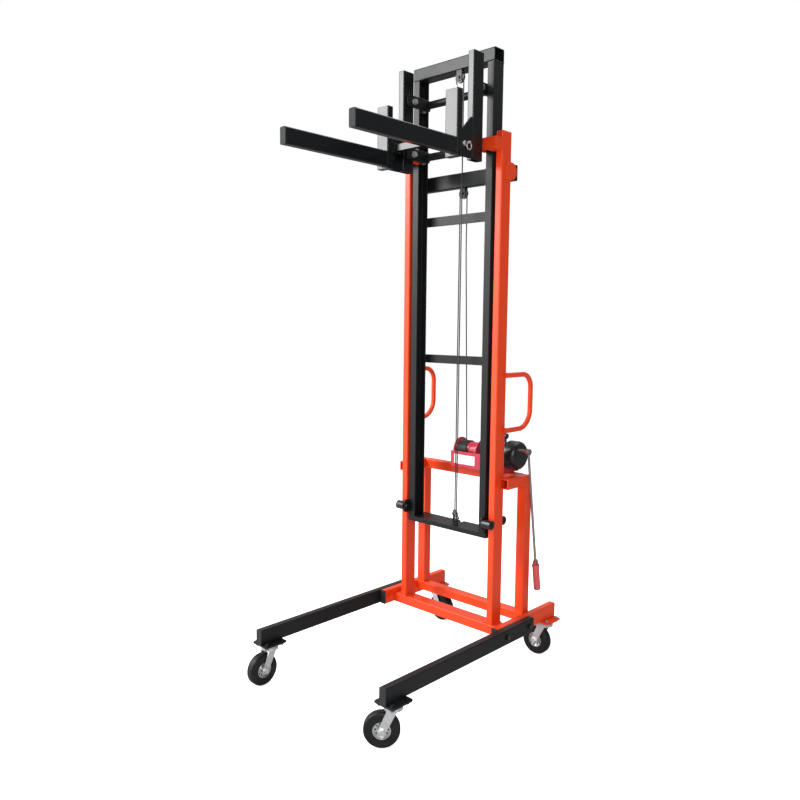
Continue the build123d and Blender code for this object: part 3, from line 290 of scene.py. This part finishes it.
def moulded_plastic(name, colour, shade, roughness, grain, painted_above=None):
    made = Finish(name, roughness)
    edge_normal = made.soft_edge(0.0015)
    tone = made.ramp(made.noise(30, 4), shade, colour)
    if painted_above is not None:
        tone = made.mix(made.beyond("Z", painted_above), tone, orange)
    made.join(tone, made.shader.inputs["Base Color"])
    gloss = made.span(made.noise(60, 4), roughness - 0.05, roughness + 0.10)
    made.join(gloss, made.shader.inputs["Roughness"])
    made.bump(made.noise(1400, 2), grain, 0.0004, edge_normal)
    return made.material


black_plastic = moulded_plastic("black_plastic", (0.013, 0.013, 0.014), (0.008, 0.008, 0.009), 0.28, 0.12)
red_grip = moulded_plastic("red_grip_plastic", (0.70, 0.10, 0.10), (0.60, 0.08, 0.085), 0.45, 0.2)
cap_plastic = moulded_plastic(
    "cap_plastic", cap_black, (0.010, 0.011, 0.012), 0.55, 0.25, painted_above=post_cap_z
)
blank_white = moulded_plastic("blank_white", (0.86, 0.85, 0.84), (0.80, 0.79, 0.79), 0.40, 0.05)
print("plastics ready")

# %% [markdown]
# A caster wheel is one node: a black rubber tyre on a drilled zinc hub. The finish tells them apart by the
# distance from the wheel's own axle, which each wheel's material gets from the joint it turns on. The
# holes in the hub's web have painted shade inside: their walls get the tyre's black, told by how near they
# are to the wheel's middle plane.

# %% Caster wheels
hub_radius = 0.03102
hub_boss_radius = 0.0165
hub_web = 0.012
hole_lip = 0.0003
ring_rate = 2600.0


def wheel_finish(name, middle, axle):
    made = Finish(name, 0.7)
    away = made.node("ShaderNodeVectorMath", operation="SUBTRACT")
    away.inputs[1].default_value = middle
    made.join(made.place, away.inputs[0])
    along = made.node("ShaderNodeVectorMath", operation="DOT_PRODUCT")
    along.inputs[1].default_value = axle
    made.join(away.outputs["Vector"], along.inputs[0])
    length = made.node("ShaderNodeVectorMath", operation="LENGTH")
    made.join(away.outputs["Vector"], length.inputs[0])
    length_squared = made.math("MULTIPLY", length.outputs["Value"], length.outputs["Value"])
    along_squared = made.math("MULTIPLY", along.outputs["Value"], along.outputs["Value"])
    across_squared = made.math("SUBTRACT", length_squared, along_squared)
    radius = made.math("SQRT", made.math("MAXIMUM", across_squared, 0.0))
    is_tyre = made.math("GREATER_THAN", radius, hub_radius)
    from_middle = made.math("ABSOLUTE", along.outputs["Value"])
    # painted shade: the walls of the holes in the hub's web, deeper than the lip, get the tyre's black
    deep = made.math("LESS_THAN", from_middle, hub_web / 2 - hole_lip)
    hole_shade = made.math("MULTIPLY", deep, made.math("GREATER_THAN", radius, hub_boss_radius))
    tyre_or_hole_shade = made.math("MAXIMUM", is_tyre, hole_shade)
    rubber = made.ramp(made.noise(25, 5), (0.005, 0.005, 0.006), (0.010, 0.010, 0.010))
    hub = made.ramp(made.noise(90, 4), (0.66, 0.67, 0.68), (0.80, 0.81, 0.82))
    made.join(made.mix(tyre_or_hole_shade, hub, rubber), made.shader.inputs["Base Color"])
    made.join(made.math("SUBTRACT", 1.0, tyre_or_hole_shade), made.shader.inputs["Metallic"])
    made.shader.inputs["Specular IOR Level"].default_value = 0.30
    dull = made.span(made.noise(40, 4), 0.38, 0.52)
    bright = made.span(made.noise(70, 4), 0.28, 0.45)
    rough = made.node("ShaderNodeMix", data_type="FLOAT")
    made.join(is_tyre, rough.inputs["Factor"])
    made.join(bright, rough.inputs["A"])
    made.join(dull, rough.inputs["B"])
    made.join(rough.outputs["Result"], made.shader.inputs["Roughness"])
    rings = made.math("SINE", made.math("MULTIPLY", radius, ring_rate))
    made.bump(rings, 0.12, 0.0004, made.soft_edge(0.001))
    return made.material


for joint in frame["joints"]:
    if joint["name"].endswith("_wheel_spin"):
        wheel = joint["child"]
        finish = wheel_finish(wheel + "_finish", joint["pos_m"], joint["axis"])
        nodes[wheel].data.materials.clear()
        nodes[wheel].data.materials.append(finish)
        print("wheel finish:", wheel)

# %% [markdown]
# Now each solid gets its finish, by the names of the nodes that share it.

# %% Finishes of the solids
finish_of = {
    orange_paint: "side_rails cross_beams left_post right_post winch_uprights winch_crossbar post_brackets "
    "push_handles",
    satin_black: "left_leg right_leg head_bar mast_left_rail mast_right_rail mast_top_bar mast_cross_bars "
    "mast_foot_bar mast_roller_brackets mast_blocks head_block carriage_axles",
    gloss_black: "carriage_uprights fork_beam left_fork right_fork",
    winch_paint: "winch_frame winch_drum",
    bolt_zinc: "frame_bolts",
    zinc: "caster_plates front_left_yoke front_right_yoke rear_left_yoke rear_right_yoke "
    "left_fork_pin right_fork_pin",
    turned_steel: "carriage_upper_rollers carriage_lower_rollers rear_foot_sheave front_foot_sheave crank",
    rope_steel: "top_sheave head_sheave",
    black_plastic: "gear_cover ratchet_lever rear_left_brake_pedal rear_right_brake_pedal post_rollers "
    "mast_front_rollers mast_rear_rollers",
    cap_plastic: "tube_caps",
    red_grip: "crank_grip",
}
for finish, names in finish_of.items():
    for name in names.split():
        nodes[name].data.materials.clear()
        nodes[name].data.materials.append(finish)
print("finished solids:", sum(len(names.split()) for names in finish_of.values()))

# %% [markdown]
# Wire rope is six strands twisted round a core. A ring with six lobes is walked along the rope's line in
# short steps, extruded at each, moved on and turned about its own middle, so the strands wind round the
# rope. The runs follow the same points as the solids: straight lines, half turns over the sheaves, and
# turns of the drum.

# %% Rope maker
rope_radius = 0.0025
rope_step = 0.0035
rope_lay = 0.034
strands, sides_of_strand, strand_dip = 6, 3, 0.80
least_steps_round = 6


class RopeWalk:
    """A rope being laid: it starts at a point, and each call walks it further."""

    def __init__(self, start, way):
        self.bm = bmesh.new()
        self.middle = Vector(start)
        self.way = Vector(way).normalized()
        side = self.way.orthogonal().normalized()
        turn = Matrix((side, self.way.cross(side), self.way)).transposed().to_4x4()
        made = bmesh.ops.create_circle(
            self.bm,
            segments=strands * sides_of_strand,
            radius=rope_radius,
            matrix=Matrix.Translation(self.middle) @ turn,
            cap_ends=True,
        )
        for index, vert in enumerate(made["verts"]):
            if index % sides_of_strand == 0:
                vert.co = self.middle + (vert.co - self.middle) * strand_dip
        self.ring = list({edge for vert in made["verts"] for edge in vert.link_edges})

    def step(self, move, length):
        made = bmesh.ops.extrude_edge_only(self.bm, edges=self.ring)["geom"]
        verts = [item for item in made if isinstance(item, bmesh.types.BMVert)]
        edges = [item for item in made if isinstance(item, bmesh.types.BMEdge)]
        self.ring = [edge for edge in edges if set(edge.verts) <= set(verts)]
        bmesh.ops.transform(self.bm, matrix=move, verts=verts)
        self.middle = move @ self.middle
        self.way = (move.to_3x3() @ self.way).normalized()
        twist = Matrix.Rotation(2 * pi * length / rope_lay, 3, self.way)
        bmesh.ops.rotate(self.bm, cent=self.middle, matrix=twist, verts=verts)

    def straight(self, end):
        run = Vector(end) - self.middle
        count = max(1, round(run.length / rope_step))
        turn = self.way.rotation_difference(run.normalized()).to_matrix().to_4x4()
        at = Matrix.Translation(self.middle)
        self.way = run.normalized()
        ring_verts = list({vert for edge in self.ring for vert in edge.verts})
        bmesh.ops.transform(self.bm, matrix=at @ turn @ at.inverted(), verts=ring_verts)
        for _ in range(count):
            self.step(Matrix.Translation(run / count), run.length / count)

    def round(self, centre, axis, angle, drift=(0, 0, 0)):
        arm = (self.middle - Vector(centre)).cross(Vector(axis).normalized()).length
        count = max(least_steps_round, round(arm * abs(angle) / rope_step))
        turn = Matrix.Rotation(angle / count, 4, Vector(axis))
        at = Matrix.Translation(Vector(centre))
        move = Matrix.Translation(Vector(drift) / count) @ at @ turn @ at.inverted()
        for _ in range(count):
            self.step(move, arm * abs(angle) / count)

    def finish(self, name, node):
        bmesh.ops.holes_fill(self.bm, edges=self.ring, sides=0)
        bmesh.ops.recalc_face_normals(self.bm, faces=self.bm.faces)
        mesh = bpy.data.meshes.new(name)
        self.bm.to_mesh(mesh)
        self.bm.free()
        mesh.shade_smooth()
        mesh.materials.append(rope_steel)
        made = bpy.data.objects.new(name, mesh)
        scene.collection.objects.link(made)
        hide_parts(node)
        print(name, "faces:", len(mesh.polygons))
        return made


# %% [markdown]
# The rope's last half turn on the drum is drawn as a fixed piece, beside the turns that go round with the
# drum. The rope leaves the drum at its front, rises to the head sheave and goes half round it. From there
# it falls to the mast's foot, passes under both foot sheaves, climbs the mast, goes half round the top
# sheave and drops to the carriage. The fall lengthens and shortens as the mast moves, and the drop as the
# carriage moves; these two are drawn at rest and are not put on any body.

# %% Rope runs
head = Vector((0, post_front + 0.084, 1.930))
top = Vector((0.034, post_front + 0.008, 2.362))
sheave_r, foot_r, foot_z = 0.018, 0.015, 0.600
lead_bend_z, drop_end_z = 1.700, 2.3253
drum_axis = Vector((0, post_front + 0.172, 0.862))
drum_r, drum_pitch, drum_wrap, drum_leave, drum_left = 0.040, 0.0056, 0.5, 0.003, -0.047
short_turn = 0.01
lead_top = head + Vector((sheave_r, 0, 0))
lead_bend = Vector((lead_top.x, lead_top.y, lead_bend_z))
reach_y, reach_z = lead_bend.y - drum_axis.y, lead_bend.z - drum_axis.z
leave_angle = atan2(reach_z, reach_y) + acos(drum_r / hypot(reach_y, reach_z))


def on_drum(turn):
    angle = leave_angle + 2 * pi * turn
    along = drum_leave - drum_pitch * turn
    return drum_axis + Vector((along, drum_r * cos(angle), drum_r * sin(angle)))


first_turn, last_turn = drum_wrap + 1, (drum_leave - drum_left) / drum_pitch
coils = last_turn - first_turn
winding = RopeWalk(on_drum(first_turn), on_drum(first_turn + short_turn) - on_drum(first_turn))
winding.round(drum_axis, (1, 0, 0), 2 * pi * coils, (-drum_pitch * coils, 0, 0))
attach(winding.finish("rope_on_drum", "drum_rope"), "drum")

lead = RopeWalk(on_drum(drum_wrap), on_drum(drum_wrap - short_turn) - on_drum(drum_wrap))
lead.round(drum_axis, (1, 0, 0), -2 * pi * drum_wrap, (drum_pitch * drum_wrap, 0, 0))
lead.straight(lead_bend)
lead.straight(lead_top)
lead.round(head, (0, 1, 0), -pi)
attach(lead.finish("rope_to_head_sheave", "rope_lead"), "frame")

fall_top = head - Vector((sheave_r, 0, 0))
fall_foot = Vector((fall_top.x, fall_top.y, foot_z))
fall = RopeWalk(fall_top, (0, 0, -1))
fall.straight(fall_foot)
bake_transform(fall.finish("rope_fall_to_foot", "rope_fall"))

rise_foot = Vector((top.x + sheave_r, top.y, foot_z))
foot_way = (rise_foot - fall_foot).normalized()
foot_axis = Vector((0, 0, 1)).cross(foot_way)
rear_foot = fall_foot + foot_way * foot_r
front_foot = rise_foot - foot_way * foot_r
rise = RopeWalk(fall_foot, (0, 0, -1))
rise.round(rear_foot, foot_axis, -pi / 2)
rise.straight(front_foot - Vector((0, 0, foot_r)))
rise.round(front_foot, foot_axis, -pi / 2)
rise.straight((rise_foot.x, rise_foot.y, top.z))
rise.round(top, (0, 1, 0), -pi)
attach(rise.finish("rope_up_mast", "rope_rise"), "mast")

drop_top = top - Vector((sheave_r, 0, 0))
drop_end = Vector((drop_top.x, drop_top.y, drop_end_z))
drop = RopeWalk(drop_top, (0, 0, -1))
drop.straight(drop_end)
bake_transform(drop.finish("rope_drop_to_carriage", "rope_drop"))

# %% [markdown]
# Tubes are joined with weld beads: a row of small frozen puddles along each seam. A bead is a line of
# coarse spheres that overlap, as the welder's steps do. Each row is painted with the piece it is on.

# %% Weld beads
bead_step, bead_radius = 0.0032, 0.0026


def new_piece(name, form, material, body):
    bmesh.ops.recalc_face_normals(form, faces=form.faces)
    mesh = bpy.data.meshes.new(name)
    form.to_mesh(mesh)
    form.free()
    mesh.materials.append(material)
    made = bpy.data.objects.new(name, mesh)
    scene.collection.objects.link(made)
    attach(made, body)
    print(name, "faces:", len(mesh.polygons))
    return made


def weld_seams(name, seams, material, body, ring=False):
    """Beads along each seam. In a ring a seam starts on the last one's end, so it leaves out its own end."""
    form = bmesh.new()
    for start, end in seams:
        start, end = Vector(start), Vector(end)
        count = max(2, round((end - start).length / bead_step))
        for step in range(count if ring else count + 1):
            place = Matrix.Translation(start.lerp(end, step / count))
            bmesh.ops.create_icosphere(form, subdivisions=2, radius=bead_radius, matrix=place)
    new_piece(name, form, material, body).data.shade_smooth()


post_rear = post_front + 0.060
post_inner, post_outer, post_foot_z = 0.220, 0.250, 0.202
stand_front, stand_rear = post_front + 0.155, post_front + 0.195
stand_inner, stand_outer = 0.252, 0.288
stand_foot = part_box("winch_uprights")[0][2]
handle_x, handle_front, handle_radius = 0.2535, post_front + 0.046, 0.008
handle_top_z, handle_low_z = 1.203, 0.985
frame_seams = []
for sign in (-1, 1):
    for x in (post_inner, post_outer):
        frame_seams.append(((sign * x, post_front, post_foot_z), (sign * x, post_rear, post_foot_z)))
    for y in (stand_front, stand_rear):
        frame_seams.append(((sign * stand_inner, y, stand_foot), (sign * stand_outer, y, stand_foot)))
    for handle_z in (handle_top_z, handle_low_z):
        for z in (handle_z - handle_radius, handle_z + handle_radius):
            frame_seams.append(((sign * handle_x, handle_front, z), (sign * handle_x, post_rear, z)))
weld_seams("frame_welds", frame_seams, orange_paint, "frame")

channel_inner, channel_outer = 0.176, 0.203
foot_seam_z, top_seam_z = 0.570, 2.390
mast_seams = []
for sign in (-1, 1):
    for y, z in ((post_front, foot_seam_z), (post_rear, top_seam_z)):
        mast_seams.append(((sign * channel_inner, y, z), (sign * channel_outer, y, z)))
weld_seams("mast_welds", mast_seams, satin_black, "mast")

arm_y = post_front - 0.212
arm_wide, arm_low, arm_high = 0.029, 2.014, 2.072
left_arm_x, right_arm_x = -0.1745, 0.1755
for side, arm_left in (("left", left_arm_x), ("right", right_arm_x)):
    arm_right = arm_left + arm_wide
    corners = [(arm_left, arm_y, arm_low), (arm_left, arm_y, arm_high)]
    corners += [(arm_right, arm_y, arm_high), (arm_right, arm_y, arm_low)]
    arm_seams = list(zip(corners, corners[1:] + corners[:1]))
    weld_seams(f"{side}_fork_welds", arm_seams, gloss_black, f"{side}_fork", ring=True)

# %% [markdown]
# The carriage's side plates are held by zinc hex bolts, seen in the gap between the uprights and the mast.
# The winch has a blank white plate on its front, and the rope ends in a pressed ferrule above the
# carriage's lug.

# %% Small fittings
washer_t, washer_radius_per_head = 0.002, 0.62
bolt_across, bolt_thick, bolt_edge = 0.019, 0.009, 0.0006


def hex_bolt(form, place, way):
    turn = Vector((0, 0, 1)).rotation_difference(Vector(way)).to_matrix().to_4x4()
    at = Matrix.Translation(Vector(place)) @ turn
    washer_radius = washer_radius_per_head * bolt_across
    corner_radius = bolt_across / sqrt(3)
    bmesh.ops.create_cone(
        form,
        cap_ends=True,
        segments=32,
        radius1=washer_radius,
        radius2=washer_radius,
        depth=washer_t,
        matrix=at @ Matrix.Translation((0, 0, washer_t / 2)),
    )
    bolt_head = bmesh.ops.create_cone(
        form,
        cap_ends=True,
        segments=6,
        radius1=corner_radius,
        radius2=corner_radius,
        depth=bolt_thick,
        matrix=at @ Matrix.Translation((0, 0, washer_t + bolt_thick / 2)),
    )
    edges = list({edge for vert in bolt_head["verts"] for edge in vert.link_edges})
    bmesh.ops.bevel(form, geom=edges, offset=bolt_edge, segments=2, profile=0.5, affect="EDGES", material=-1)


outer_bolt_x, outer_bolt_y = 0.162, post_front - 0.022
inner_bolt_x, inner_bolt_y = 0.154, post_front - 0.050
upper_plate_z, lower_plate_z = 2.293, 2.085
bolts = bmesh.new()
for z in (upper_plate_z, lower_plate_z):
    for sign in (-1, 1):
        hex_bolt(bolts, (sign * outer_bolt_x, outer_bolt_y, z), (sign, 0, 0))
        hex_bolt(bolts, (sign * inner_bolt_x, inner_bolt_y, z), (-sign, 0, 0))
new_piece("carriage_bolts", bolts, zinc, "carriage")

plate_wide, plate_t, plate_high, plate_corner = 0.110, 0.0012, 0.040, 0.003
plate_middle = (0.008, post_front + 0.1095, 0.829)
plate = bmesh.new()
plate_size = Matrix.Diagonal((plate_wide, plate_t, plate_high, 1))
bmesh.ops.create_cube(plate, size=1, matrix=Matrix.Translation(plate_middle) @ plate_size)
corner_edges = [edge for edge in plate.edges if abs(edge.verts[0].co.y - edge.verts[1].co.y) > plate_t / 2]
bmesh.ops.bevel(
    plate, geom=corner_edges, offset=plate_corner, segments=4, profile=0.5, affect="EDGES", material=-1
)
new_piece("winch_blank_plate", plate, blank_white, "frame")

ferrule_gap, touching = 0.0006, 1e-6
ferrule_foot = drop_end + Vector((0, 0, ferrule_gap))
ferrule_profile = (0.0026, 0.0), (0.0044, 0.0006), (0.0046, 0.003), (0.0040, 0.005), (0.0046, 0.007)
ferrule_profile += (0.0040, 0.009), (0.0046, 0.011), (0.0042, 0.0136), (0.0026, 0.0142)
ferrule = bmesh.new()
rim = [ferrule.verts.new(ferrule_foot + Vector((radius, 0, height))) for radius, height in ferrule_profile]
side_line = [ferrule.edges.new(pair) for pair in zip(rim[:-1], rim[1:])]
bmesh.ops.spin(
    ferrule, geom=rim + side_line, cent=ferrule_foot, axis=(0, 0, 1), angle=2 * pi, steps=24, use_merge=True
)
bmesh.ops.remove_doubles(ferrule, verts=ferrule.verts, dist=touching)
bmesh.ops.holes_fill(ferrule, edges=[edge for edge in ferrule.edges if edge.is_boundary], sides=0)
new_piece("rope_ferrule", ferrule, zinc, "carriage").data.shade_smooth()

# %% [markdown]
# The floor is plain and pale. To the camera it is as white as the backdrop, and it still takes the lift's
# shadow. Polished metal and paint see the backdrop too, brighter on the left than on the right and dimmed,
# so that the black tubes stay black.

# %% Floor, backdrop and light
floor_half, floor_drop, floor_glow = 14, 0.0005, 0.70
mirrored_level, left_level, right_level = 0.22, 0.75, 0.10
floor_mesh = bpy.data.meshes.new("floor")
floor_form = bmesh.new()
bmesh.ops.create_grid(floor_form, x_segments=1, y_segments=1, size=floor_half)
floor_form.to_mesh(floor_mesh)
floor_form.free()
floor = bpy.data.objects.new("floor", floor_mesh)
floor.location.z = -floor_drop
scene.collection.objects.link(floor)
floor_finish = Finish("pale_floor", 0.85)
floor_finish.shader.inputs["Specular IOR Level"].default_value = 0.1
floor_finish.shader.inputs["Emission Color"].default_value = (1, 1, 1, 1)
floor_rays = floor_finish.node("ShaderNodeLightPath").outputs
glow = floor_finish.math("MULTIPLY", floor_rays["Is Camera Ray"], floor_glow)
floor_finish.join(glow, floor_finish.shader.inputs["Emission Strength"])
seen_tone = floor_finish.mix(floor_rays["Is Glossy Ray"], (0.90, 0.90, 0.90), (0.42, 0.42, 0.42))
floor_finish.join(seen_tone, floor_finish.shader.inputs["Base Color"])
floor_mesh.materials.append(floor_finish.material)

world = bpy.data.worlds.new("studio")
scene.world = world
world.use_nodes = True
sky = world.node_tree
background = sky.nodes["Background"]
background.inputs["Color"].default_value = (1, 1, 1, 1)


def sky_math(operation, first, second):
    made = sky.nodes.new("ShaderNodeMath")
    made.operation = operation
    for value, socket in zip((first, second), made.inputs):
        if isinstance(value, float):
            socket.default_value = value
        else:
            sky.links.new(value, socket)
    return made.outputs["Value"]


rays = sky.nodes.new("ShaderNodeLightPath").outputs
mirrored = sky_math("MULTIPLY", rays["Is Glossy Ray"], mirrored_level)
seen_direct = sky_math("MAXIMUM", rays["Is Camera Ray"], rays["Is Transmission Ray"])
seen = sky_math("MAXIMUM", seen_direct, mirrored)
sky_way = sky.nodes.new("ShaderNodeTexCoord").outputs["Generated"]
sky_parts = sky.nodes.new("ShaderNodeSeparateXYZ")
sky.links.new(sky_way, sky_parts.inputs["Vector"])
left_to_right = sky.nodes.new("ShaderNodeMapRange")
left_to_right.inputs["From Min"].default_value = -1.0
left_to_right.inputs["From Max"].default_value = 0.7
left_to_right.inputs["To Min"].default_value = left_level
left_to_right.inputs["To Max"].default_value = right_level
sky.links.new(sky_parts.outputs["X"], left_to_right.inputs["Value"])
level = sky_math("MAXIMUM", seen, left_to_right.outputs["Result"])
sky.links.new(level, background.inputs["Strength"])


def softbox(name, place, aim, size, power):
    lamp = bpy.data.lights.new(name, "AREA")
    lamp.shape = "RECTANGLE"
    lamp.size, lamp.size_y = size
    lamp.energy = power
    made = bpy.data.objects.new(name, lamp)
    made.location = place
    made.rotation_euler = (Vector(aim) - Vector(place)).to_track_quat("-Z", "Y").to_euler()
    scene.collection.objects.link(made)


softbox("key_front_left", (-2.5, -3.0, 3.5), (0, 0, 1.5), (2.2, 2.0), 230)
softbox("tall_front_left", (-2.7, -3.7, 1.5), (0, 0, 1.3), (2.4, 3.0), 60)
softbox("fill_front_right", (3.4, -3.0, 2.4), (0, 0, 1.0), (2.4, 2.4), 100)
softbox("top", (0.4, 1.6, 4.6), (0, 0, 1.2), (2.5, 2.5), 70)
print("lights ready")
